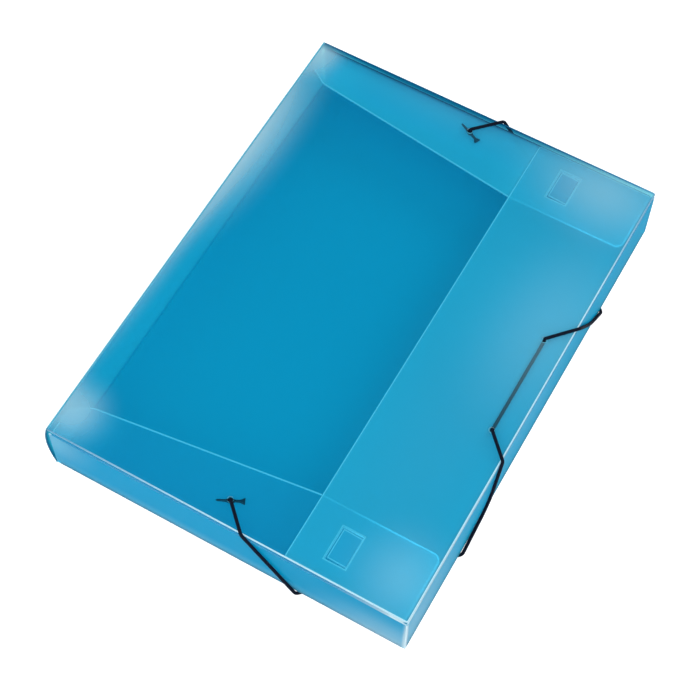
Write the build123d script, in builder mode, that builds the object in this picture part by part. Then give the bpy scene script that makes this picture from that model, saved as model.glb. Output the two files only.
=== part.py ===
from build123d import *
import math
import os

# Folded box file for A4 papers, in millimetres.
# X runs from the spine to the front wall, Y from the near end to the far end, Z up.
# The origin is under the middle of the box, on the surface that it lies on.

# Overall sizes of the folded box
width = 240.0
length = 325.0
height = 45.0

# Sheet and its creases
sheet = 0.8
crease_radius = 1.2
crease_relief = 2.0
bead_radius = 0.6
hinge_gap = 0.08
panel_gap = 0.1
wall_gap = 0.3
spine_bow = 3.2
corner_radius = 1.5

# Flaps under the lid
front_flap_depth = 80.0
end_flap_depth = 45.5
end_flap_depth_at_taper = 27.0
end_flap_depth_at_spine = 19.0
taper_from_spine = 15.0
taper_to_front = 80.0
flap_inset = 1.5
flap_corner_radius = 5.0
flap_spine_radius = 9.0

# Lock windows in the front flap, and the tongues that stand in them
window_width = 14.0
window_length = 22.5
window_from_front = 46.0
window_from_end = 11.5
window_gap = 0.6
tongue_lift = 0.9
tongue_root_gap = 0.15

# Elastic cord, its holes and its barbs
cord_diameter = 2.2
cord_gap = 0.1
cord_step = 1.5
hole_turn_radius = 1.45
edge_turn_radius = 1.3
bow_radius = 30.0
hole_radius = 1.9
front_hole_inset = 14.0
front_hole_spread = 69.0
end_hole_inset = 15.2
end_hole_from_spine = 116.5
barb_length = 17.0
barb_diameter = 1.7
barb_turn = 26.0
barb_flare = 4.4
barb_flare_length = 3.2
barb_flare_thickness = 0.8
barb_drop = 0.5
collar_height = 0.3
collar_diameter = 3.4

# The two corner loops, which lie a few millimetres apart from mirror images
near_edge_from_spine = 133.5
far_edge_from_spine = 132.5
bottom_edge_from_spine = 168.0
near_bottom_from_end = 68.5
near_bow_from_bottom = 32.0
near_bow_height = 11.7
near_fold_from_middle = 50.0
far_bottom_from_end = 67.5
far_bow_from_bottom = 20.0
far_bow_height = 14.7
far_fold_from_middle = 51.0

# Levels and faces that follow from those sizes
cord_radius = cord_diameter / 2
cord_reach = cord_diameter + cord_gap
cord_offset = cord_radius + cord_gap
base_bottom = cord_reach
lid_top = base_bottom + height
lid_bottom = lid_top - sheet
front_top = lid_bottom - cord_diameter - 2 * cord_gap
end_top = front_top - sheet - panel_gap

spine_proud = spine_bow + sheet / 2 - bead_radius
back_x = -(width + cord_reach - spine_proud) / 2
front_x = back_x + width
end_y = length / 2
hinge_x = back_x + bead_radius
spine_inside = hinge_x + sheet / 2
base_hinge_z = base_bottom + bead_radius
lid_hinge_z = lid_bottom + sheet / 2
hinge_reach = bead_radius + hinge_gap

end_wall_start = spine_inside + wall_gap
end_wall_end = front_x - sheet - panel_gap
flap_root = end_y - crease_radius


def plate(low_x, low_y, high_x, high_y):
    """A rectangle from corner to corner."""
    with Locations(((low_x + high_x) / 2, (low_y + high_y) / 2)):
        Rectangle(high_x - low_x, high_y - low_y)


def save(part, name):
    part.label = name
    export_step(part, f"parts/{name}.step")


def crease(plane, across, up, start, half_run, name):
    """The sheet bent a quarter turn round a score line, as far both ways from the plane."""
    with BuildPart() as bend:
        with BuildSketch(plane):
            with BuildLine():
                outer = CenterArc((across, up), crease_radius, start, 90)
                inner = CenterArc((across, up), crease_radius - sheet, start, 90)
                Line(outer @ 0, inner @ 0)
                Line(outer @ 1, inner @ 1)
            make_face()
        extrude(amount=half_run, both=True)
    save(bend.part, name)
    return bend.part


os.makedirs("parts", exist_ok=True)

# Base panel, between the four creases round it
with BuildPart() as base_panel:
    with BuildSketch(Plane.XY.offset(base_bottom)):
        plate(hinge_x, -flap_root, front_x - crease_radius, flap_root)
    extrude(amount=sheet)
    with BuildSketch(Plane.XZ):
        with Locations((hinge_x, base_hinge_z)):
            Circle(bead_radius)
    extrude(amount=length, both=True, mode=Mode.SUBTRACT)
save(base_panel.part, "base_panel")

# Front wall with its two creases, and the flap that folds in under the lid
long_run = end_y - crease_relief
bend_x = front_x - crease_radius
front_base_crease = crease(Plane.XZ, bend_x, base_bottom + crease_radius, -90, long_run, "front_base_crease")

with BuildPart() as front_wall:
    with BuildSketch(Plane.YZ.offset(front_x - sheet)):
        plate(-end_y, base_bottom + crease_radius, end_y, front_top - crease_radius)
    extrude(amount=sheet)
save(front_wall.part, "front_wall")

front_flap_crease = crease(Plane.XZ, bend_x, front_top - crease_radius, 0, long_run, "front_flap_crease")

window_x = front_x - window_from_front - window_width / 2
window_y = end_y - window_from_end - window_length / 2
with BuildPart() as front_flap:
    with BuildSketch(Plane.XY.offset(front_top - sheet)) as front_flap_outline:
        free_edge = front_x - front_flap_depth
        plate(free_edge, flap_inset - end_y, front_x - crease_radius, end_y - flap_inset)
        fillet(front_flap_outline.vertices().group_by(Axis.X)[0], corner_radius)
        with Locations((window_x, window_y), (window_x, -window_y)):
            Rectangle(window_width, window_length, mode=Mode.SUBTRACT)
    extrude(amount=sheet)
save(front_flap.part, "front_flap")


def end_crease(side, up, start, name):
    """The crease along one end wall's bottom or top edge."""
    middle = Plane.YZ.offset((end_wall_start + end_wall_end) / 2)
    half_run = (end_wall_end - end_wall_start) / 2 - crease_relief
    return crease(middle, side * flap_root, up, start, half_run, name)


def end_wall(side, name):
    """One end wall, between its two creases."""
    with BuildPart() as wall:
        with BuildSketch(Plane.YZ.offset(end_wall_start)):
            outside = side * end_y
            inside = side * (end_y - sheet)
            low = base_bottom + crease_radius
            plate(min(outside, inside), low, max(outside, inside), end_top - crease_radius)
        extrude(amount=end_wall_end - end_wall_start)
    save(wall.part, name)
    return wall.part


def end_flap(side, name):
    """An end flap: shallow and rounded at the spine, tapered to the front flap's edge."""
    spine_end = end_wall_start + flap_inset
    front_end = end_wall_end - flap_inset
    taper_start = (back_x + taper_from_spine, end_y - end_flap_depth_at_taper)
    taper_stop = (front_x - taper_to_front, end_y - end_flap_depth)
    corners = [
        (spine_end, flap_root),
        (spine_end, end_y - end_flap_depth_at_spine),
        taper_start,
        taper_stop,
        (front_end, end_y - end_flap_depth),
        (front_end, flap_root),
    ]
    with BuildPart() as flap:
        with BuildSketch(Plane.XY.offset(end_top - sheet)) as outline:
            with BuildLine():
                Polyline(*[(x, side * y) for x, y in corners], close=True)
            make_face()
            inner = outline.vertices().group_by(Axis.Y)[0 if side > 0 else -1]
            fillet(inner.sort_by(Axis.X)[-1], flap_corner_radius)
            spine_corner = outline.vertices().sort_by_distance((taper_start[0], side * taper_start[1]))[0]
            fillet(spine_corner, flap_spine_radius)
            with Locations((window_x, side * window_y)):
                Rectangle(window_width - 2 * window_gap, window_length - 2 * window_gap, mode=Mode.SUBTRACT)
        extrude(amount=sheet)
    save(flap.part, name)
    return flap.part


def lock_tongue(side, name):
    """A tongue cut on three sides, rising from the end flap into the front flap's window."""
    root_x = window_x + window_width / 2 - window_gap - tongue_root_gap
    tip_x = window_x - window_width / 2 + 2 * window_gap
    half = window_length / 2 - 2 * window_gap
    low = end_top - sheet
    with BuildPart() as tongue:
        with BuildSketch(Plane.XZ.offset(-side * window_y)):
            with BuildLine():
                Polyline(
                    (root_x, low),
                    (root_x, low + sheet),
                    (tip_x, low + sheet + tongue_lift),
                    (tip_x, low + tongue_lift),
                    close=True,
                )
            make_face()
        extrude(amount=half, both=True)
    save(tongue.part, name)
    return tongue.part


near_base_crease = end_crease(-1, base_bottom + crease_radius, 180, "near_base_crease")
near_end_wall = end_wall(-1, "near_end_wall")
near_flap_crease = end_crease(-1, end_top - crease_radius, 90, "near_flap_crease")
near_end_flap = end_flap(-1, "near_end_flap")
near_lock_tongue = lock_tongue(-1, "near_lock_tongue")
far_base_crease = end_crease(1, base_bottom + crease_radius, -90, "far_base_crease")
far_end_wall = end_wall(1, "far_end_wall")
far_flap_crease = end_crease(1, end_top - crease_radius, 0, "far_flap_crease")
far_end_flap = end_flap(1, "far_end_flap")
far_lock_tongue = lock_tongue(1, "far_lock_tongue")


def crease_bead(up, name):
    """The round bead that a folded living hinge makes along the spine."""
    with BuildPart() as bead:
        with BuildSketch(Plane.XZ):
            with Locations((hinge_x, up)):
                Circle(bead_radius)
        extrude(amount=end_y, both=True)
    save(bead.part, name)
    return bead.part


base_spine_crease = crease_bead(base_hinge_z, "base_spine_crease")
spine_lid_crease = crease_bead(lid_hinge_z, "spine_lid_crease")

# Spine panel, bowed outwards between its two hinges
with BuildPart() as spine_panel:
    with BuildSketch(Plane.XZ):
        low = base_hinge_z + hinge_reach
        high = lid_hinge_z
        outside = hinge_x - sheet / 2
        middle = (low + high) / 2
        with BuildLine():
            outer = ThreePointArc((outside, low), (outside - spine_bow, middle), (outside, high))
            inner = ThreePointArc((spine_inside, low), (spine_inside - spine_bow, middle), (spine_inside, high))
            Line(outer @ 0, inner @ 0)
            Line(outer @ 1, inner @ 1)
        make_face()
        with Locations((hinge_x, lid_hinge_z)):
            Circle(bead_radius, mode=Mode.SUBTRACT)
    extrude(amount=end_y, both=True)
save(spine_panel.part, "spine_panel")

# Lid panel with its four cord holes
front_hole_x = front_x - front_hole_inset
front_hole_y = front_hole_spread / 2
end_hole_x = back_x + end_hole_from_spine
end_hole_y = end_y - end_hole_inset
with BuildPart() as lid_panel:
    with BuildSketch(Plane.XY.offset(lid_bottom)) as lid_outline:
        plate(hinge_x + hinge_reach, -end_y, front_x, end_y)
        fillet(lid_outline.vertices().group_by(Axis.X)[-1], corner_radius)
        hole_places = [
            (front_hole_x, front_hole_y),
            (front_hole_x, -front_hole_y),
            (end_hole_x, end_hole_y),
            (end_hole_x, -end_hole_y),
        ]
        with Locations(*hole_places):
            Circle(hole_radius, mode=Mode.SUBTRACT)
    extrude(amount=sheet)
save(lid_panel.part, "lid_panel")

# Levels and faces of the cord's middle line, one cord away from what it lies on
over_lid = lid_top + cord_offset
under_lid = lid_bottom - cord_offset
under_base = base_bottom - cord_offset
front_of_wall = front_x + cord_offset
beyond_end = end_y + cord_offset


def tube(points, radii, name):
    """A round cord along straight runs joined by tangent arcs."""
    with BuildPart() as cord:
        with BuildLine() as route:
            FilletPolyline(*points, radius=radii)
        with BuildSketch(Plane(origin=points[0], z_dir=Vector(*points[1]) - Vector(*points[0]))):
            Circle(cord_radius)
        sweep()
    run = sum(edge.length for edge in route.edges())
    full = run * math.pi * cord_radius**2
    print(name, "length", round(run, 1), "volume", round(cord.part.volume, 1), "section times length", round(full, 1))
    print(name, "radii", radii)
    save(cord.part, name)
    return cord.part


def step_towards(start, target, step):
    """The point a step along the lid from start towards target."""
    away = math.dist(start, target)
    return tuple(a + (b - a) * step / away for a, b in zip(start, target))


# Where each loop crosses the lid's edges and the walls' bottom edges, and its bow on the front wall
near_edge_x = back_x + near_edge_from_spine
far_edge_x = back_x + far_edge_from_spine
bottom_edge_x = back_x + bottom_edge_from_spine
near_bottom_y = near_bottom_from_end - end_y
far_bottom_y = end_y - far_bottom_from_end

near_route = [
    (near_edge_x, -beyond_end, over_lid),
    (bottom_edge_x, -beyond_end, under_base),
    (front_of_wall, near_bottom_y, under_base),
    (front_of_wall, near_bottom_y + near_bow_from_bottom, base_bottom + near_bow_height),
    (front_of_wall, -near_fold_from_middle, over_lid),
]
far_route = [
    (far_edge_x, beyond_end, over_lid),
    (bottom_edge_x, beyond_end, under_base),
    (front_of_wall, far_bottom_y, under_base),
    (front_of_wall, far_bottom_y - far_bow_from_bottom, base_bottom + far_bow_height),
    (front_of_wall, far_fold_from_middle, over_lid),
]
loop_radii = [edge_turn_radius, edge_turn_radius, edge_turn_radius, bow_radius, edge_turn_radius]


def corner_loop(side, route, name):
    """One stretched loop: out of the end hole, round the corner under the base, and back to the front hole."""
    end_hole = (end_hole_x, side * end_hole_y)
    front_hole = (front_hole_x, side * front_hole_y)
    start = step_towards(end_hole, route[0][:2], cord_step)
    stop = step_towards(front_hole, route[-1][:2], cord_step)
    return tube([(*start, over_lid), *route, (*stop, over_lid)], loop_radii, name)


near_corner_loop = corner_loop(-1, near_route, "near_corner_loop")
far_corner_loop = corner_loop(1, far_route, "far_corner_loop")

# Cord under the lid, up through both front holes and over onto the lid
near_stop = step_towards((front_hole_x, -front_hole_y), near_route[-1][:2], cord_step)
far_stop = step_towards((front_hole_x, front_hole_y), far_route[-1][:2], cord_step)
lid_cord_run = tube(
    [
        (*near_stop, over_lid),
        (front_hole_x, -front_hole_y, over_lid),
        (front_hole_x, -front_hole_y, under_lid),
        (front_hole_x, front_hole_y, under_lid),
        (front_hole_x, front_hole_y, over_lid),
        (*far_stop, over_lid),
    ],
    [hole_turn_radius] * 4,
    "lid_cord_run",
)

# Barbs and the cord's tails that they hold
barb_z = lid_bottom - cord_gap - barb_drop - barb_diameter / 2
collar_top = barb_z + barb_diameter / 2 + collar_height


def cord_tail(side, edge_x, name):
    """The cord's end, from its barb's collar up through the lid and over onto it."""
    hole = (end_hole_x, side * end_hole_y)
    over = step_towards(hole, (edge_x, side * beyond_end), cord_step)
    points = [(*hole, collar_top), (*hole, over_lid), (*over, over_lid)]
    return tube(points, [hole_turn_radius], name)


def barb(side, name):
    """A bar across the hole, flared at one end, with a collar that grips the cord."""
    angle = math.radians(-side * barb_turn)
    along = (math.cos(angle), math.sin(angle), 0)
    place = Plane(origin=(end_hole_x, side * end_hole_y, barb_z), x_dir=along, z_dir=(0, 0, 1))
    flare_start = barb_length / 2 - barb_flare_length
    with BuildPart(place) as bar:
        Cylinder(barb_diameter / 2, barb_length, rotation=(0, 90, 0))
        with BuildSketch(place):
            with BuildLine():
                Polyline(
                    (flare_start, -barb_diameter / 2),
                    (barb_length / 2, -barb_flare / 2),
                    (barb_length / 2, barb_flare / 2),
                    (flare_start, barb_diameter / 2),
                    close=True,
                )
            make_face()
        extrude(amount=barb_flare_thickness / 2, both=True)
        with BuildSketch(place):
            Circle(collar_diameter / 2)
        extrude(amount=collar_top - barb_z)
    save(bar.part, name)
    return bar.part


near_cord_tail = cord_tail(-1, near_edge_x, "near_cord_tail")
far_cord_tail = cord_tail(1, far_edge_x, "far_cord_tail")
near_barb = barb(-1, "near_barb")
far_barb = barb(1, "far_barb")
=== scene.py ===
import bpy
import bmesh
import math
from mathutils import Matrix, Vector


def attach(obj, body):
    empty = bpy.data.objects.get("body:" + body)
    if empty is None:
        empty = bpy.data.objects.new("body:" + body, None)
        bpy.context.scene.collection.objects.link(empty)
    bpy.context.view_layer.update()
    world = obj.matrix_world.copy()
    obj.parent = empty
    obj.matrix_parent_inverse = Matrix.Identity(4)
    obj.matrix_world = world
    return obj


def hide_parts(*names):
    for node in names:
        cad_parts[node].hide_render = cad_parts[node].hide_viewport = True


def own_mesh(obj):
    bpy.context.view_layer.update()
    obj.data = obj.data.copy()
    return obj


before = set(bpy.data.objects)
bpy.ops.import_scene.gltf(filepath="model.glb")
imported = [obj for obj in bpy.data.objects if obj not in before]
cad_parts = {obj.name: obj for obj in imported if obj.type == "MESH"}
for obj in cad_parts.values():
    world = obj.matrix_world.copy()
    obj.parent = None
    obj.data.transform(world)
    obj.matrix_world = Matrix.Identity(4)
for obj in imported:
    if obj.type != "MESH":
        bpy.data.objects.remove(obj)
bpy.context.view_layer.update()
mm = 0.001
scene = bpy.context.scene
scene.view_settings.view_transform = "Standard"
# each sheet has two faces, and up to six sheets lie behind each other
scene.cycles.transparent_max_bounces = 40

# Camera, at the angle of a product shot from above the near front corner
cameraSetup = {
    "azimuth": 28.66, "elevation": 61.67, "roll": 0.91,
    "distance": 1117.5 * mm, "sensor": 36, "lens": 91.76, "clip": (0.05, 50),
    "aim": Vector((0.35, 0, 2.3)) * mm, "slide": (-6.9 * mm, -4.7 * mm),
}


def awayFrom(azimuth, elevation):
    # unit vector from the object towards a camera or lamp; azimuth 0 stands at -Y
    azimuth, elevation = math.radians(azimuth), math.radians(elevation)
    return Vector((math.sin(azimuth) * math.cos(elevation), -math.cos(azimuth) * math.cos(elevation),
                   math.sin(elevation)))


def makeCamera(setup):
    back = awayFrom(setup["azimuth"], setup["elevation"])
    roll = math.radians(setup["roll"])
    right = (-back).cross(Vector((0, 0, 1))).normalized()
    up = right.cross(-back)
    across = right * math.cos(roll) + up * math.sin(roll)
    above = up * math.cos(roll) - right * math.sin(roll)
    data = bpy.data.cameras.new("camera")
    data.sensor_width, data.lens = setup["sensor"], setup["lens"]
    data.clip_start, data.clip_end = setup["clip"]
    camera = bpy.data.objects.new("camera", data)
    scene.collection.objects.link(camera)
    place = setup["aim"] + back * setup["distance"] + across * setup["slide"][0] + above * setup["slide"][1]
    camera.matrix_world = Matrix.Translation(place) @ Matrix((across, above, back)).transposed().to_4x4()
    scene.camera = camera


makeCamera(cameraSetup)
print("camera in place")


def hexColour(text, power=1.0):
    # sRGB hex to the linear values that Blender's sockets take
    parts = [int(text[i:i + 2], 16) / 255 for i in (1, 3, 5)]
    linear = (c / 12.92 if c <= 0.04045 else ((c + 0.055) / 1.055) ** 2.4 for c in parts)
    return (*(c ** power for c in linear), 1.0)


def addNode(tree, kind, inputs=None, **settings):
    # one node with its settings; an input is a value, or the socket that it comes from
    node = tree.nodes.new(kind)
    for name, value in settings.items():
        setattr(node, name, value)
    for key, value in (inputs or {}).items():
        if isinstance(value, bpy.types.NodeSocket):
            tree.links.new(value, node.inputs[key])
        else:
            node.inputs[key].default_value = value
    return node


def newMaterial(name):
    material = bpy.data.materials.new(name)
    material.use_nodes = True
    material.node_tree.nodes.clear()
    return material, material.node_tree


def addPiece(name, mesh, body, slot, *replaced):
    piece = bpy.data.objects.new(name, mesh)
    scene.collection.objects.link(piece)
    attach(piece, body)
    if replaced:
        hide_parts(*replaced)
    return piece


def bakeNodes(name, mesh, tree, sizes):
    # runs a Geometry Nodes tree on a mesh, and gives back the result as a plain mesh
    holder = bpy.data.objects.new(name, mesh)
    scene.collection.objects.link(holder)
    modifier = holder.modifiers.new(name, "NODES")
    modifier.node_group = tree
    for item in tree.interface.items_tree:
        if item.in_out == "INPUT" and item.name in sizes:
            modifier[item.identifier] = sizes[item.name]
    bpy.context.view_layer.update()
    made = bpy.data.meshes.new_from_object(holder.evaluated_get(bpy.context.evaluated_depsgraph_get()))
    holder.modifiers.remove(modifier)
    bpy.data.objects.remove(holder)
    return made


# Elastic: one round cord, black-blue, with a fine braided cover
elasticSizes = {
    "Core Radius": 0.84 * mm, "Core Step": 0.3 * mm, "Core Sides": 10,
    "Strand Radius": 0.24 * mm, "Strand Step": 0.45 * mm, "Strand Sides": 6,
    "Weave Radius": 0.81 * mm, "Weave Lift": 0.05 * mm, "Pitch": 7.5 * mm, "Strands Each Way": 8,
}
# "thread" and "fibre" are noise scales, for marks of about 1 mm and 0.2 mm
elasticLook = {
    "dark": "#060B18", "light": "#0F1A30", "thread": 900.0, "fibre": 5000.0,
    "bump": 0.4, "bumpDepth": 0.05 * mm, "roughness": 0.65, "specular": 0.1, "sheen": 0.02, "ior": 1.5,
}
# Each route: its points in millimetres, and how hard the cord is pulled into each of them.
# Beside each edge that it turns round there is a point about six diameters away, on the taut run.
elasticRoutes = {
    "nearLoopElastic": {"body": "near_loop", "node": "near_corner_loop", "points": [
        ((-2.07, -148.34, 48.5), 1), ((5.0, -155.2, 48.5), 1), ((13.85, -163.7, 48.5), 5),
        ((22.9, -163.7, 35.8), 1), ((39.3, -163.7, 13.8), 1), ((48.35, -163.7, 1.1), 5),
        ((57.5, -155.0, 1.1), 1), ((112.4, -102.7, 1.1), 1), ((121.55, -94.0, 1.1), 5),
        ((121.55, -82.0, 5.9), 1), ((121.55, -62.0, 14.0), 1), ((121.55, -54.4, 35.9), 1),
        ((121.55, -50.0, 48.5), 5), ((114.2, -42.5, 48.5), 1), ((107.4, -35.6, 48.5), 1)]},
    "farLoopElastic": {"body": "far_loop", "node": "far_corner_loop", "points": [
        ((-2.10, 148.37, 48.5), 1), ((4.5, 154.9, 48.5), 1), ((12.85, 163.7, 48.5), 5),
        ((22.2, 163.7, 36.0), 1), ((39.0, 163.7, 13.6), 1), ((48.35, 163.7, 1.1), 5),
        ((57.5, 155.2, 1.1), 1), ((112.4, 103.5, 1.1), 1), ((121.55, 95.0, 1.1), 5),
        ((121.55, 85.0, 9.05), 1), ((121.55, 75.0, 17.0), 1), ((121.55, 56.4, 41.4), 1),
        ((121.55, 51.0, 48.5), 5), ((114.2, 43.1, 48.5), 1), ((107.4, 35.6, 48.5), 1)]},
    "lidRunElastic": {"body": "lid", "node": "lid_cord_run", "points": [
        ((107.4, -35.6, 48.5), 1), ((106.35, -34.5, 48.5), 2), ((106.35, -34.5, 45.3), 2),
        ((106.35, -21.5, 45.3), 1), ((106.35, 21.5, 45.3), 1), ((106.35, 34.5, 45.3), 2),
        ((106.35, 34.5, 48.5), 2), ((107.4, 35.6, 48.5), 1)]},
    "nearTailElastic": {"body": "lid", "node": "near_cord_tail", "points": [
        ((-3.15, -147.3, 46.2), 1), ((-3.15, -147.3, 48.5), 2), ((-2.07, -148.34, 48.5), 1)]},
    "farTailElastic": {"body": "lid", "node": "far_cord_tail", "points": [
        ((-3.15, 147.3, 46.2), 1), ((-3.15, 147.3, 48.5), 2), ((-2.10, 148.37, 48.5), 1)]},
}


routeSpline = {"order": 3, "steps": 16}


def routeMesh(name, points, setup):
    # the route as one NURBS spline, read back as a line of points
    curve = bpy.data.curves.new(name, "CURVE")
    curve.dimensions, curve.resolution_u = "3D", setup["steps"]
    spline = curve.splines.new("NURBS")
    spline.points.add(len(points) - 1)
    for point, (place, pull) in zip(spline.points, points):
        point.co = (*(value * mm for value in place), pull)
    spline.order_u = setup["order"]
    spline.use_endpoint_u = True
    holder = bpy.data.objects.new(name, curve)
    scene.collection.objects.link(holder)
    bpy.context.view_layer.update()
    line = bpy.data.meshes.new_from_object(holder)
    bpy.data.objects.remove(holder)
    return line


def braidTree(sizes, material):
    # a core tube with strands wound both ways, each passing over and under the others
    tree = bpy.data.node_groups.new("braidedCord", "GeometryNodeTree")
    tree.interface.new_socket("Geometry", in_out="INPUT", socket_type="NodeSocketGeometry")
    for name, value in sizes.items():
        kind = "NodeSocketInt" if isinstance(value, int) else "NodeSocketFloat"
        tree.interface.new_socket(name, in_out="INPUT", socket_type=kind)
    tree.interface.new_socket("Geometry", in_out="OUTPUT", socket_type="NodeSocketGeometry")
    given = addNode(tree, "NodeGroupInput").outputs
    line = addNode(tree, "GeometryNodeMeshToCurve", {"Mesh": given["Geometry"]}).outputs[0]
    coreLine = addNode(tree, "GeometryNodeResampleCurve",
                       {"Curve": line, "Length": given["Core Step"]}, mode="LENGTH")
    coreRing = addNode(tree, "GeometryNodeCurvePrimitiveCircle",
                       {"Resolution": given["Core Sides"], "Radius": given["Core Radius"]})
    core = addNode(tree, "GeometryNodeCurveToMesh",
                   {"Curve": coreLine.outputs[0], "Profile Curve": coreRing.outputs[0], "Fill Caps": True})
    joined = addNode(tree, "GeometryNodeJoinGeometry", {"Geometry": core.outputs[0]})
    ring = addNode(tree, "GeometryNodeCurvePrimitiveCircle",
                   {"Resolution": given["Strand Sides"], "Radius": given["Strand Radius"]})
    strandLine = addNode(tree, "GeometryNodeResampleCurve",
                         {"Curve": line, "Length": given["Strand Step"]}, mode="LENGTH")
    along = addNode(tree, "GeometryNodeSplineParameter").outputs["Length"]
    turns = addNode(tree, "ShaderNodeMath", {0: along, 1: given["Pitch"]}, operation="DIVIDE").outputs[0]
    normal = addNode(tree, "GeometryNodeInputNormal").outputs[0]
    tangent = addNode(tree, "GeometryNodeInputTangent").outputs[0]
    side = addNode(tree, "ShaderNodeVectorMath", {0: tangent, 1: normal},
                   operation="CROSS_PRODUCT").outputs[0]
    crossings = addNode(tree, "ShaderNodeMath", {0: turns, 1: given["Strands Each Way"]},
                        operation="MULTIPLY").outputs[0]
    phase = addNode(tree, "ShaderNodeMath", {0: crossings, 1: 2 * math.pi}, operation="MULTIPLY").outputs[0]
    wave = addNode(tree, "ShaderNodeMath", {0: phase}, operation="COSINE").outputs[0]
    lift = addNode(tree, "ShaderNodeMath", {0: wave, 1: given["Weave Lift"]},
                   operation="MULTIPLY").outputs[0]
    for handed in (1, -1):
        copies = addNode(tree, "GeometryNodeDuplicateElements",
                         {"Geometry": strandLine.outputs[0], "Amount": given["Strands Each Way"]},
                         domain="SPLINE")
        share = addNode(tree, "ShaderNodeMath",
                        {0: copies.outputs["Duplicate Index"], 1: given["Strands Each Way"]},
                        operation="DIVIDE").outputs[0]
        turned = addNode(tree, "ShaderNodeMath", {0: turns, 1: handed, 2: share},
                         operation="MULTIPLY_ADD").outputs[0]
        angle = addNode(tree, "ShaderNodeMath", {0: turned, 1: 2 * math.pi},
                        operation="MULTIPLY").outputs[0]
        reach = addNode(tree, "ShaderNodeMath", {0: lift, 1: handed, 2: given["Weave Radius"]},
                        operation="MULTIPLY_ADD").outputs[0]
        offsets = []
        for direction, curve in ((normal, "COSINE"), (side, "SINE")):
            part = addNode(tree, "ShaderNodeMath", {0: angle}, operation=curve).outputs[0]
            size = addNode(tree, "ShaderNodeMath", {0: part, 1: reach}, operation="MULTIPLY").outputs[0]
            offsets.append(addNode(tree, "ShaderNodeVectorMath", {0: direction, "Scale": size},
                                   operation="SCALE").outputs[0])
        offset = addNode(tree, "ShaderNodeVectorMath", {0: offsets[0], 1: offsets[1]},
                         operation="ADD").outputs[0]
        wound = addNode(tree, "GeometryNodeSetPosition", {"Geometry": copies.outputs[0], "Offset": offset})
        strands = addNode(tree, "GeometryNodeCurveToMesh",
                          {"Curve": wound.outputs[0], "Profile Curve": ring.outputs[0], "Fill Caps": True})
        tree.links.new(strands.outputs[0], joined.inputs["Geometry"])
    smooth = addNode(tree, "GeometryNodeSetShadeSmooth", {"Geometry": joined.outputs[0]})
    real = addNode(tree, "GeometryNodeRealizeInstances", {"Geometry": smooth.outputs[0]})
    painted = addNode(tree, "GeometryNodeSetMaterial", {"Geometry": real.outputs[0], "Material": material})
    addNode(tree, "NodeGroupOutput", {"Geometry": painted.outputs[0]})
    return tree


def elasticMaterial(look):
    # Braided polyester over rubber: dull black-blue threads, with a soft sheen where they catch the light
    material, tree = newMaterial("braidedPolyesterElastic")
    where = addNode(tree, "ShaderNodeTexCoord").outputs["Object"]
    thread = addNode(tree, "ShaderNodeTexNoise", {"Vector": where, "Scale": look["thread"], "Detail": 3.0})
    tone = addNode(tree, "ShaderNodeMix",
                   {"Factor": thread.outputs["Fac"], 6: hexColour(look["dark"]), 7: hexColour(look["light"])},
                   data_type="RGBA")
    fibre = addNode(tree, "ShaderNodeTexNoise", {"Vector": where, "Scale": look["fibre"], "Detail": 2.0})
    bump = addNode(tree, "ShaderNodeBump", {"Height": fibre.outputs["Fac"], "Strength": look["bump"],
                                            "Distance": look["bumpDepth"]})
    shader = addNode(tree, "ShaderNodeBsdfPrincipled",
                     {"Base Color": tone.outputs[2], "Normal": bump.outputs[0],
                      "Roughness": look["roughness"], "Specular IOR Level": look["specular"],
                      "Sheen Weight": look["sheen"], "IOR": look["ior"]})
    addNode(tree, "ShaderNodeOutputMaterial", {"Surface": shader.outputs[0]})
    return material


braid = braidTree(elasticSizes, elasticMaterial(elasticLook))
for cordName, route in elasticRoutes.items():
    cordLine = routeMesh(cordName, route["points"], routeSpline)
    cordMesh = bakeNodes(cordName, cordLine, braid, elasticSizes)
    cord = addPiece(cordName, cordMesh, route["body"], "elastic", route["node"])
    if route["body"] != "lid":  # each loop gets its own copy of its mesh
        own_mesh(cord)
print("elastic made")


# Sheet: extruded polypropylene, 0.8 mm, cast against a satin roll and tinted blue. The eye gets a clear,
# strong blue that goes paler where the sheet is seen at a slant. The paler places by the folds and over a
# second sheet are partly painted highlights, and the darker blue places painted shade. "grain" is the size
# of the satin's grain, "bump" and "bumpDepth" how strong it is and its depth. The colour of the painted shade
# and the white of the painted highlights are set here too, and "whitening" is how fast a painted highlight
# turns to that white. "mostHaze" is the most light that any place scatters, and the two slants make a tilted
# sheet scatter more.
sheetCommon = {
    "roughness": 0.38, "ior": 1.49, "gloss": 0.5,
    "grain": 0.35 * mm, "bump": 0.1, "bumpDepth": 0.02 * mm,
    "cutEdge": "#D8F3FD", "cutHaze": 0.85, "paintedHighlight": "#D8F3FC", "whitening": 2.5, "paintedShadeColour": "#0A7CA4",
    "mostHaze": 0.97, "slantPower": 3.0, "slantLoss": 0.4,
}
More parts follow.
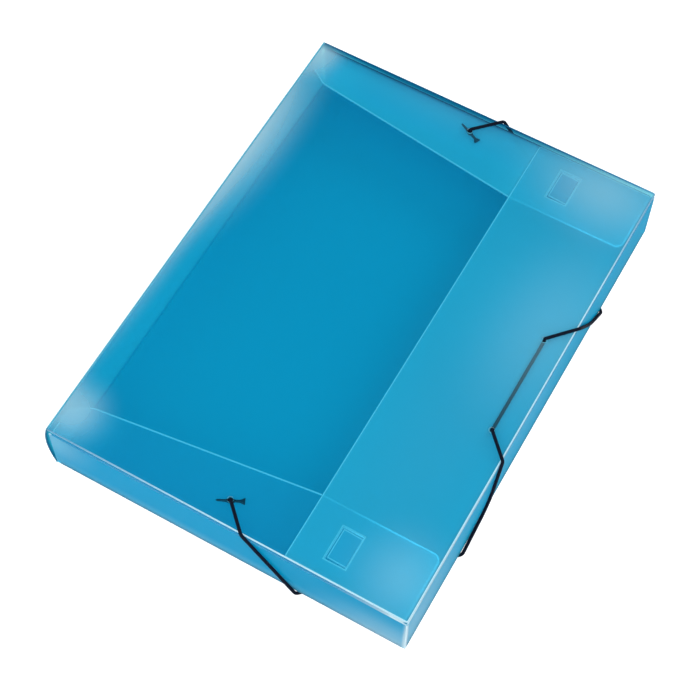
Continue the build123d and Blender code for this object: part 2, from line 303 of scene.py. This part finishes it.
# "clear" is the colour of white light after one sheet, and the weight beside it is the share of light that
# the sheet scatters. All panels are the one sheet and these values are set panel by panel, so part of the
# difference between panels is painted light and shade. Each painted highlight is a place where the sheet is
# paler: its centre and its reach in millimetres, and how strong it is. A painted shade is a place where the
# sheet is a darker blue. "glow" is a painted glow, emission that stands in for the light that runs inside the
# sheet and comes out at a cut edge. "patchGlow" is the same at a painted highlight, and "gloss" the specular
# level. "faceAxis" is the axis that a panel's faces look along: its other sides are cut edges.
sheetLooks = {
    # lid: painted highlights along the spine, at its corners and over the flaps, and a painted shade along
    # the far edge
    "lid": {"clear": "#80E6F8", "scatter": "#58C8EC", "weight": 0.04, "faceAxis": 2, "paintedPatches": [
        {"centre": (85, 0, 47), "reach": (62, 240, 30), "weight": 0.07},
        {"centre": (-119, 78, 47), "reach": (34, 112, 30), "weight": 0.48},
        {"centre": (-125, 0, 47), "reach": (18, 200, 30), "weight": 0.48},
        {"centre": (-119, 156, 47), "reach": (26, 30, 30), "weight": 0.5},
        {"centre": (-114, -144, 47), "reach": (34, 32, 30), "weight": 0.5},
        {"centre": (106, -142, 47), "reach": (46, 48, 30), "weight": 0.24},
        {"centre": (92, 148, 47), "reach": (80, 50, 30), "weight": 0.34},
        {"centre": (-20, 158, 47), "reach": (110, 30, 30), "weight": 0.12},
        {"centre": (112, 45, 47), "reach": (60, 110, 30), "weight": 0.18}],
        "paintedShades": [{"centre": (-40, 163.5, 47), "reach": (190, 8, 30), "weight": 1.5}]},
    # flaps and tongues: the listed places are painted highlights, and their glow is a painted glow
    "frontFlap": {"clear": "#C8F4FC", "scatter": "#DCFCFF", "weight": 0.57, "faceAxis": 2, "paintedPatches": [
        {"centre": (108, 50, 44), "reach": (80, 95, 30), "weight": 0.3}]},
    "nearEndFlap": {"clear": "#C0F4FA", "scatter": "#9CF0FC", "weight": 0.18, "faceAxis": 2, "patchGlow": 0.12,
                    "paintedPatches": [
        {"centre": (-112, -145, 43), "reach": (40, 40, 30), "weight": 0.4},
        {"centre": (119, -134, 43), "reach": (75, 60, 30), "weight": 0.9}]},
    "farEndFlap": {"clear": "#C8F4FC", "scatter": "#CCFCFF", "weight": 0.6, "faceAxis": 2, "patchGlow": 0.14,
                   "paintedPatches": [
        {"centre": (-112, 148, 43), "reach": (45, 30, 30), "weight": 0.15},
        {"centre": (110, 138, 43), "reach": (100, 75, 30), "weight": 0.6}]},
    "tongue": {"clear": "#C0F0FA", "scatter": "#C8F4FE", "weight": 0.6, "faceAxis": 2, "glow": 0.02},
    # end walls: the near wall's listed places are painted highlights
    "nearEndWall": {"clear": "#28DAFA", "scatter": "#10D0F4", "weight": 0.4, "faceAxis": 1, "gloss": 0.1,
                    "paintedPatches": [
        {"centre": (-124, -162, 38), "reach": (46, 20, 44), "weight": 0.22},
        {"centre": (112, -162, 8), "reach": (65, 20, 38), "weight": 0.24},
        {"centre": (-10, -162, 7), "reach": (190, 20, 10), "weight": 0.1},
        {"centre": (121, -162, 24), "reach": (4, 20, 60), "weight": 0.6}]},
    "farEndWall": {"clear": "#28CCE8", "scatter": "#28DCF8", "weight": 0.8, "faceAxis": 1},
    # front wall: the listed places are painted highlights
    "frontWall": {"clear": "#28DAFA", "scatter": "#18DAFE", "weight": 0.35, "faceAxis": 0, "gloss": 0.02,
                  "paintedPatches": [
        {"centre": (120, -165, 26), "reach": (20, 95, 50), "weight": 0.24},
        {"centre": (120, -20, 36), "reach": (20, 120, 34), "weight": 0.05},
        {"centre": (120, -163, 24), "reach": (20, 3.5, 60), "weight": 0.6}]},
    # spine: a painted shade at its near end, where it is seen edge-on
    "spine": {"clear": "#48E0F4", "scatter": "#60E8F6", "weight": 0.52,
              "paintedShades": [{"centre": (-120, -163, 24), "reach": (20, 4, 60), "weight": 1.3}]},
    "spineCrease": {"clear": "#C4ECF8", "scatter": "#C4ECF8", "weight": 0.25},
    "base": {"clear": "#20D8F2", "scatter": "#0CDAEC", "weight": 0.8},
    # creases: the top crease's listed places are painted highlights along the fold
    "topCrease": {"clear": "#A9E2F5", "scatter": "#58C6EC", "weight": 0.35, "paintedPatches": [
        {"centre": (124, -164, 43), "reach": (70, 25, 20), "weight": 0.5},
        {"centre": (120, -120, 43), "reach": (20, 150, 20), "weight": 0.5}]},
    # the far crease is darker than the top crease: painted shade along the far edge
    "farCrease": {"clear": "#38B4D6", "scatter": "#0E86B0", "weight": 0.6},
    # the base creases are darker: painted shade at the foot of the walls
    "baseCrease": {"clear": "#2090C0", "scatter": "#0A6FA0", "weight": 0.8, "gloss": 0.1},
    "innerCrease": {"clear": "#48D4EC", "scatter": "#2FB4DA", "weight": 0.12},
    # cut edges: the outer one is a darker blue, a painted shade along the lid's far edge, with painted
    # highlights along the near side and the front fold; all of them carry a painted glow
    "outerCut": {"clear": "#50C4E0", "scatter": "#1B93BE", "weight": 0.65, "glow": 0.15, "paintedPatches": [
        {"centre": (0, -166, 44), "reach": (210, 30, 60), "weight": 0.35},
        {"centre": (125, -168, 44), "reach": (150, 45, 60), "weight": 0.9},
        {"centre": (122, -80, 44), "reach": (30, 210, 60), "weight": 0.9},
        {"centre": (122, 90, 44), "reach": (20, 160, 60), "weight": 0.3}]},
    # inner and flap cut edges: near white with a painted glow, and on the end flaps painted highlights with a
    # stronger painted glow
    "innerCut": {"clear": "#D8F4FA", "scatter": "#FFF4F8", "weight": 0.9, "glow": 0.15},
    "flapCut": {"clear": "#D8F4FA", "scatter": "#FFF4F8", "weight": 0.9, "glow": 0.15, "patchGlow": 1.2,
                "paintedPatches": [
        {"centre": (105, -120, 44), "reach": (50, 60, 30), "weight": 0.6},
        {"centre": (105, 120, 44), "reach": (50, 60, 30), "weight": 0.6}]},
}


def patchSum(tree, place, paintedPatches):
    # the strengths of all painted places added up, painted highlight or painted shade as given: full in the
    # middle of each, nothing at its reach
    total = 0.0
    for patch in paintedPatches:
        local = addNode(tree, "ShaderNodeMapping",
                        {"Vector": place, "Location": Vector(patch["centre"]) * mm,
                         "Scale": Vector(patch["reach"]) * mm}, vector_type="TEXTURE").outputs[0]
        away = addNode(tree, "ShaderNodeVectorMath", {0: local}, operation="LENGTH").outputs["Value"]
        share = addNode(tree, "ShaderNodeMapRange", {"Value": away, "To Min": patch["weight"], "To Max": 0.0},
                        interpolation_type="SMOOTHSTEP").outputs[0]
        total = addNode(tree, "ShaderNodeMath", {0: total, 1: share}, operation="ADD").outputs[0]
    return total


def sheetMaterial(name, look, common):
    material, tree = newMaterial(name)
    coordinates = addNode(tree, "ShaderNodeTexCoord").outputs
    twoFaces = 0.5  # light passes two faces of a sheet, so each takes the square root
    colour, tint = hexColour(look["scatter"]), hexColour(look["clear"], twoFaces)
    weight, glow = look["weight"], look.get("glow", 0.0)
    # painted highlights: at these places the sheet scatters more and turns whiter
    if "paintedPatches" in look:
        paintedHighlight = patchSum(tree, coordinates["Object"], look["paintedPatches"])
        weight = addNode(tree, "ShaderNodeMath", {0: paintedHighlight, 1: weight}, operation="ADD").outputs[0]
        whiter = addNode(tree, "ShaderNodeMath", {0: paintedHighlight, 1: common["whitening"]},
                         operation="MULTIPLY", use_clamp=True).outputs[0]
        colour = addNode(tree, "ShaderNodeMix",
                         {"Factor": whiter, 6: colour, 7: hexColour(common["paintedHighlight"])},
                         data_type="RGBA").outputs[2]
        # painted glow: emission at the painted highlights
        if "patchGlow" in look:
            glow = addNode(tree, "ShaderNodeMath", {0: paintedHighlight, 1: look["patchGlow"], 2: glow},
                           operation="MULTIPLY_ADD").outputs[0]
    # painted shade: the colour and the tint are pulled towards a darker blue
    if "paintedShades" in look:
        shade = patchSum(tree, coordinates["Object"], look["paintedShades"])
        colour = addNode(tree, "ShaderNodeMix",
                         {"Factor": shade, 6: colour, 7: hexColour(common["paintedShadeColour"])},
                         data_type="RGBA").outputs[2]
        tint = addNode(tree, "ShaderNodeMix",
                       {"Factor": shade, 6: tint, 7: hexColour(common["paintedShadeColour"], twoFaces)},
                       data_type="RGBA").outputs[2]
    if "faceAxis" in look:
        facing = addNode(tree, "ShaderNodeSeparateXYZ", {0: coordinates["Normal"]}).outputs[look["faceAxis"]]
        flat = addNode(tree, "ShaderNodeMath", {0: facing}, operation="ABSOLUTE").outputs[0]
        edge = addNode(tree, "ShaderNodeMath", {0: flat, 1: 0.5}, operation="LESS_THAN").outputs[0]
        weight = addNode(tree, "ShaderNodeMath", {0: edge, 1: common["cutHaze"], 2: weight},
                       operation="MULTIPLY_ADD").outputs[0]
        colour = addNode(tree, "ShaderNodeMix",
                         {"Factor": edge, 6: colour, 7: hexColour(common["cutEdge"])},
                         data_type="RGBA").outputs[2]
    most = addNode(tree, "ShaderNodeMath", {0: weight, 1: common["mostHaze"]}, operation="MINIMUM").outputs[0]
    through = addNode(tree, "ShaderNodeMath", {0: 1.0, 1: most}, operation="SUBTRACT").outputs[0]
    oneFace = addNode(tree, "ShaderNodeMath", {0: through, 1: twoFaces}, operation="POWER").outputs[0]
    slant = addNode(tree, "ShaderNodeLayerWeight", {"Blend": 0.5}).outputs["Facing"]
    steep = addNode(tree, "ShaderNodeMath", {0: slant, 1: common["slantPower"]},
                    operation="POWER").outputs[0]
    kept = addNode(tree, "ShaderNodeMath", {0: steep, 1: -common["slantLoss"], 2: 1.0},
                   operation="MULTIPLY_ADD").outputs[0]
    clearness = addNode(tree, "ShaderNodeMath", {0: oneFace, 1: kept}, operation="MULTIPLY").outputs[0]
    grain = addNode(tree, "ShaderNodeTexNoise",
                    {"Vector": coordinates["Object"], "Scale": 1 / common["grain"], "Detail": 2.0})
    bump = addNode(tree, "ShaderNodeBump", {"Height": grain.outputs["Fac"], "Strength": common["bump"],
                                            "Distance": common["bumpDepth"]})
    # the emission is a painted glow, for light that runs inside the sheet
    satin = addNode(tree, "ShaderNodeBsdfPrincipled",
                    {"Base Color": colour, "Normal": bump.outputs[0], "Roughness": common["roughness"],
                     "IOR": common["ior"], "Specular IOR Level": look.get("gloss", common["gloss"]),
                     "Emission Color": colour, "Emission Strength": glow})
    clear = addNode(tree, "ShaderNodeBsdfTransparent", {"Color": tint})
    mixed = addNode(tree, "ShaderNodeMixShader", {"Fac": clearness, 1: satin.outputs[0], 2: clear.outputs[0]})
    addNode(tree, "ShaderNodeOutputMaterial", {"Surface": mixed.outputs[0]})
    return material


finishes = {name: sheetMaterial(name + "Polypropylene", look, sheetCommon)
            for name, look in sheetLooks.items()}
sheetNodes = {
    "lid_panel": "lid", "front_flap": "frontFlap",
    "near_end_flap": "nearEndFlap", "far_end_flap": "farEndFlap",
    "near_lock_tongue": "tongue", "far_lock_tongue": "tongue", "near_end_wall": "nearEndWall",
    "far_end_wall": "farEndWall", "front_wall": "frontWall", "spine_panel": "spine", "base_panel": "base",
    "near_flap_crease": "topCrease", "far_flap_crease": "farCrease", "front_flap_crease": "topCrease",
    "spine_lid_crease": "spineCrease", "base_spine_crease": "base", "far_base_crease": "innerCrease",
    "near_base_crease": "baseCrease", "front_base_crease": "baseCrease",
}
for nodeName, finishName in sheetNodes.items():
    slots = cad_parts[nodeName].data.materials
    slots.clear()
    slots.append(finishes[finishName])
print("sheet finished")

# Die-cut edges: the steel rule rolls each cut edge over into a bead. The beads' colours and emission are
# painted light: a painted glow for the light that runs inside the sheet, with painted highlights and a
# painted shade along the lid's edge.
# "out" points away from the sheet's show face, "folds" are the sides where a crease goes on instead, as an
# axis and a place in millimetres, and "bare" the middles of the cord holes, which stay sharp.
cutEdge = {"radius": 0.5 * mm, "inset": 0.4 * mm, "sides": 8, "thickness": 0.8 * mm,
           "holeReach": 3 * mm, "foldReach": 0.02 * mm, "level": 0.01 * mm, "weld": 0.001 * mm}
cutEdges = {
    "lidCutEdge": {"node": "lid_panel", "body": "lid", "out": (0, 0, 1), "folds": [(0, -118.37)],
                   "look": "outerCut",
                   "bare": [(106.35, 34.5), (106.35, -34.5), (-3.15, 147.3), (-3.15, -147.3)]},
    "frontFlapCutEdge": {"node": "front_flap", "body": "tray", "out": (0, 0, 1), "folds": [(0, 119.15)]},
    "nearFlapCutEdge": {"node": "near_end_flap", "body": "tray", "out": (0, 0, 1), "look": "flapCut",
                        "folds": [(1, -161.3)]},
    "farFlapCutEdge": {"node": "far_end_flap", "body": "tray", "out": (0, 0, 1), "look": "flapCut",
                       "folds": [(1, 161.3)]},
    "nearTongueCutEdge": {"node": "near_lock_tongue", "body": "tray", "out": (0, 0, 1), "folds": [(0, 73.6)]},
    "farTongueCutEdge": {"node": "far_lock_tongue", "body": "tray", "out": (0, 0, 1), "folds": [(0, 73.6)]},
    "frontWallCutEdge": {"node": "front_wall", "body": "tray", "out": (1, 0, 0), "look": "outerCut",
                         "folds": [(2, 3.5), (2, 42.9)]},
}


def cutEdgeLine(name, setup, sizes):
    # the outline of a sheet's show face, moved in under its edge, without the sides that are folds
    out = Vector(setup["out"])
    source = bmesh.new()
    source.from_mesh(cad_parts[setup["node"]].data)
    bmesh.ops.remove_doubles(source, verts=source.verts, dist=sizes["weld"])
    inward, runs = {}, []
    for edge in source.edges:
        if len(edge.link_faces) != 2:
            continue
        show, side = sorted((face.normal for face in edge.link_faces), key=lambda normal: -normal.dot(out))
        ends = edge.verts
        onFold = any(abs(end.co[axis] - value * mm) < sizes["foldReach"]
                     for axis, value in setup["folds"] for end in ends
                     if abs(ends[0].co[axis] - ends[1].co[axis]) < sizes["level"])
        bare = any((Vector(place) * mm - ends[0].co.xy).length < sizes["holeReach"]
                   for place in setup.get("bare", ()))
        # only where the show face meets a side that stands square to it
        if show.dot(out) < 0.9 or abs(side.dot(out)) > 0.5 or onFold or bare:
            continue
        runs.append([end.index for end in ends])
        for end in ends:
            if not any((side - other).length < 0.01 for other in inward.setdefault(end.index, [])):
                inward[end.index].append(side.copy())
    order = {index: place for place, index in enumerate(inward)}
    source.verts.ensure_lookup_table()
    points = []
    for index, sides in inward.items():
        mitre = sum(sides, Vector()) / (1 + (sides[0].dot(sides[-1]) if len(sides) > 1 else 0))
        points.append(source.verts[index].co - mitre * sizes["inset"] - out * sizes["thickness"] / 2)
    line = bpy.data.meshes.new(name)
    line.from_pydata(points, [[order[index] for index in run] for run in runs], [])
    source.free()
    return line


def cutEdgeTree(material):
    # a round bead along each line of the mesh
    tree = bpy.data.node_groups.new("rolledCutEdge", "GeometryNodeTree")
    tree.interface.new_socket("Geometry", in_out="INPUT", socket_type="NodeSocketGeometry")
    tree.interface.new_socket("Radius", in_out="INPUT", socket_type="NodeSocketFloat")
    tree.interface.new_socket("Sides", in_out="INPUT", socket_type="NodeSocketInt")
    tree.interface.new_socket("Geometry", in_out="OUTPUT", socket_type="NodeSocketGeometry")
    given = addNode(tree, "NodeGroupInput").outputs
    line = addNode(tree, "GeometryNodeMeshToCurve", {"Mesh": given["Geometry"]}).outputs[0]
    ring = addNode(tree, "GeometryNodeCurvePrimitiveCircle",
                   {"Resolution": given["Sides"], "Radius": given["Radius"]})
    bead = addNode(tree, "GeometryNodeCurveToMesh",
                   {"Curve": line, "Profile Curve": ring.outputs[0], "Fill Caps": True}).outputs[0]
    smooth = addNode(tree, "GeometryNodeSetShadeSmooth", {"Geometry": bead}).outputs[0]
    real = addNode(tree, "GeometryNodeRealizeInstances", {"Geometry": smooth}).outputs[0]
    painted = addNode(tree, "GeometryNodeSetMaterial", {"Geometry": real, "Material": material}).outputs[0]
    addNode(tree, "NodeGroupOutput", {"Geometry": painted})
    return tree


edgeTrees = {look: cutEdgeTree(finishes[look]) for look in ("outerCut", "innerCut", "flapCut")}
for edgeName, setup in cutEdges.items():
    edgeLine = cutEdgeLine(edgeName, setup, cutEdge)
    edgeTree = edgeTrees[setup.get("look", "innerCut")]
    bead = bakeNodes(edgeName, edgeLine, edgeTree, {"Radius": cutEdge["radius"], "Sides": cutEdge["sides"]})
    addPiece(edgeName, bead, setup["body"], "sheet")
print("cut edges rolled")

# Barbs: the T-ends that hold the elastic under the lid, in millimetres and degrees.
# Stations along the bar: place, half width, half height.
barb = {
    "stations": [(-8.5, 0.22, 0.2), (-8.2, 0.5, 0.46), (-7.2, 0.66, 0.6), (-2.6, 0.85, 0.82),
                 (-1.9, 1.2, 0.85), (-1.0, 1.55, 0.85), (1.0, 1.55, 0.85), (1.9, 1.2, 0.85),
                 (2.6, 0.85, 0.82), (5.1, 0.85, 0.75), (6.0, 1.15, 0.5), (7.2, 1.8, 0.42),
                 (8.2, 2.2, 0.4), (8.5, 2.1, 0.28)],
    "middle": (-3.15, 147.3, 45.05), "turn": 26.0, "around": 16, "collarAround": 24,
    "collarOut": 1.7, "collarIn": 1.15, "collarLow": 0.3, "collarHigh": 1.15, "collarRound": 0.2,
}
# "flow" is the noise scale of the mould's flow marks, about 1.4 mm
barbLook = {"dark": "#0C1526", "light": "#1B2A45", "flow": 700.0, "roughness": 0.35, "ior": 1.53}


def barbMesh(name, side, setup, material):
    made = bmesh.new()
    rings = []
    for along, wide, high in setup["stations"]:
        ring = []
        for step in range(setup["around"]):
            angle = 2 * math.pi * step / setup["around"]
            ring.append(made.verts.new((along, wide * math.cos(angle), high * math.sin(angle))))
        rings.append(ring)
    outline = [(setup["collarIn"], setup["collarLow"]), (setup["collarOut"], setup["collarLow"]),
               (setup["collarOut"], setup["collarHigh"] - setup["collarRound"]),
               (setup["collarOut"] - setup["collarRound"], setup["collarHigh"]),
               (setup["collarIn"], setup["collarHigh"])]
    collar = []
    for step in range(setup["collarAround"]):
        angle = 2 * math.pi * step / setup["collarAround"]
        collar.append([made.verts.new((reach * math.cos(angle), reach * math.sin(angle), level))
                       for reach, level in outline])
    collar.append(collar[0])
    for rows, closed in ((rings, False), (collar, True)):
        for first, second in zip(rows, rows[1:]):
            for place in range(len(first)):
                after = (place + 1) % len(first)
                made.faces.new((first[place], first[after], second[after], second[place]))
        if not closed:
            made.faces.new(rows[0])
            made.faces.new(rows[-1])
    bmesh.ops.recalc_face_normals(made, faces=made.faces)
    mesh = bpy.data.meshes.new(name)
    made.to_mesh(mesh)
    made.free()
    turn = Matrix.Rotation(math.radians(-side * setup["turn"]), 4, "Z")
    place = Vector((setup["middle"][0], side * setup["middle"][1], setup["middle"][2]))
    mesh.transform(Matrix.Scale(mm, 4) @ Matrix.Translation(place) @ turn)
    mesh.polygons.foreach_set("use_smooth", [True] * len(mesh.polygons))
    mesh.materials.append(material)
    return mesh


def barbMaterial(look):
    # Moulded nylon: near-black blue, smooth from the mould, with a small gloss
    material, tree = newMaterial("mouldedNylonBarb")
    where = addNode(tree, "ShaderNodeTexCoord").outputs["Object"]
    flow = addNode(tree, "ShaderNodeTexNoise", {"Vector": where, "Scale": look["flow"], "Detail": 2.0})
    tone = addNode(tree, "ShaderNodeMix",
                   {"Factor": flow.outputs["Fac"], 6: hexColour(look["dark"]), 7: hexColour(look["light"])},
                   data_type="RGBA")
    shader = addNode(tree, "ShaderNodeBsdfPrincipled",
                     {"Base Color": tone.outputs[2], "Roughness": look["roughness"], "IOR": look["ior"]})
    addNode(tree, "ShaderNodeOutputMaterial", {"Surface": shader.outputs[0]})
    return material


barbFinish = barbMaterial(barbLook)
for barbName, side, node in (("nearBarb", -1, "near_barb"), ("farBarb", 1, "far_barb")):
    addPiece(barbName, barbMesh(barbName, side, barb, barbFinish), "lid", "barb", node)
print("barbs made")

# Floor, white to the camera, with the object's shadow kept. "glow" is how far it is lit up where it is seen
# directly, and "glowThrough" where it is seen through a sheet. "level" keeps it clear of the elastic.
stageSetup = {"size": 8.0, "level": -0.1 * mm, "paper": "#E7E7E7", "glow": 0.7, "glowThrough": 0.2,
              "sky": 0.35}


def stageMaterial(setup):
    # Painted board: flat white; the camera and reflections see it lit up to pure white
    material, tree = newMaterial("whitePaintedBoard")
    paper = addNode(tree, "ShaderNodeBsdfDiffuse", {"Color": hexColour(setup["paper"])}).outputs[0]
    ray = addNode(tree, "ShaderNodeLightPath").outputs
    strength = addNode(tree, "ShaderNodeMapRange",
                       {"Value": ray["Transparent Depth"], "To Min": setup["glow"],
                        "To Max": setup["glowThrough"]}).outputs[0]
    glow = addNode(tree, "ShaderNodeEmission", {"Color": (1, 1, 1, 1), "Strength": strength}).outputs[0]
    lit = addNode(tree, "ShaderNodeAddShader", {0: paper, 1: glow}).outputs[0]
    seen = addNode(tree, "ShaderNodeMath", {0: ray["Is Camera Ray"], 1: ray["Is Glossy Ray"]},
                   operation="MAXIMUM").outputs[0]
    seenToo = addNode(tree, "ShaderNodeMath", {0: seen, 1: ray["Is Transmission Ray"]},
                      operation="MAXIMUM").outputs[0]
    choice = addNode(tree, "ShaderNodeMixShader", {"Fac": seenToo, 1: paper, 2: lit}).outputs[0]
    addNode(tree, "ShaderNodeOutputMaterial", {"Surface": choice})
    return material


def makeStage(setup):
    half, level = setup["size"] / 2, setup["level"]
    corners = [(x, y, level) for x, y in ((-half, -half), (half, -half), (half, half), (-half, half))]
    mesh = bpy.data.meshes.new("floor")
    mesh.from_pydata(corners, [], [(0, 1, 2, 3)])
    mesh.materials.append(stageMaterial(setup))
    floor = bpy.data.objects.new("floor", mesh)
    scene.collection.objects.link(floor)
    world = bpy.data.worlds.new("studio")
    scene.world = world
    world.use_nodes = True
    tree = world.node_tree
    tree.nodes.clear()
    ray = addNode(tree, "ShaderNodeLightPath").outputs
    plain, white = (addNode(tree, "ShaderNodeBackground",
                            {"Color": (1, 1, 1, 1), "Strength": strength}).outputs[0]
                    for strength in (setup["sky"], 1.0))
    choice = addNode(tree, "ShaderNodeMixShader",
                     {"Fac": ray["Is Camera Ray"], 1: plain, 2: white}).outputs[0]
    addNode(tree, "ShaderNodeOutputWorld", {"Surface": choice})


makeStage(stageSetup)

# Lamps: azimuth and elevation in degrees, distance and size in metres, power in watts
lamps = {
    "keyLamp": (28, 50, 1.4, 1.6, 12),
    "backRightLamp": (140, 45, 1.5, 0.9, 5),
    "frontLeftLamp": (-40, 40, 1.6, 0.9, 4),
}


def makeLamp(name, azimuth, elevation, distance, size, power):
    back = awayFrom(azimuth, elevation)
    data = bpy.data.lights.new(name, "AREA")
    data.size, data.energy = size, power
    lamp = bpy.data.objects.new(name, data)
    scene.collection.objects.link(lamp)
    turn = back.to_track_quat("Z", "Y").to_matrix().to_4x4()
    lamp.matrix_world = Matrix.Translation(back * distance) @ turn


for lampName, values in lamps.items():
    makeLamp(lampName, *values)
print("stage and lamps in place")
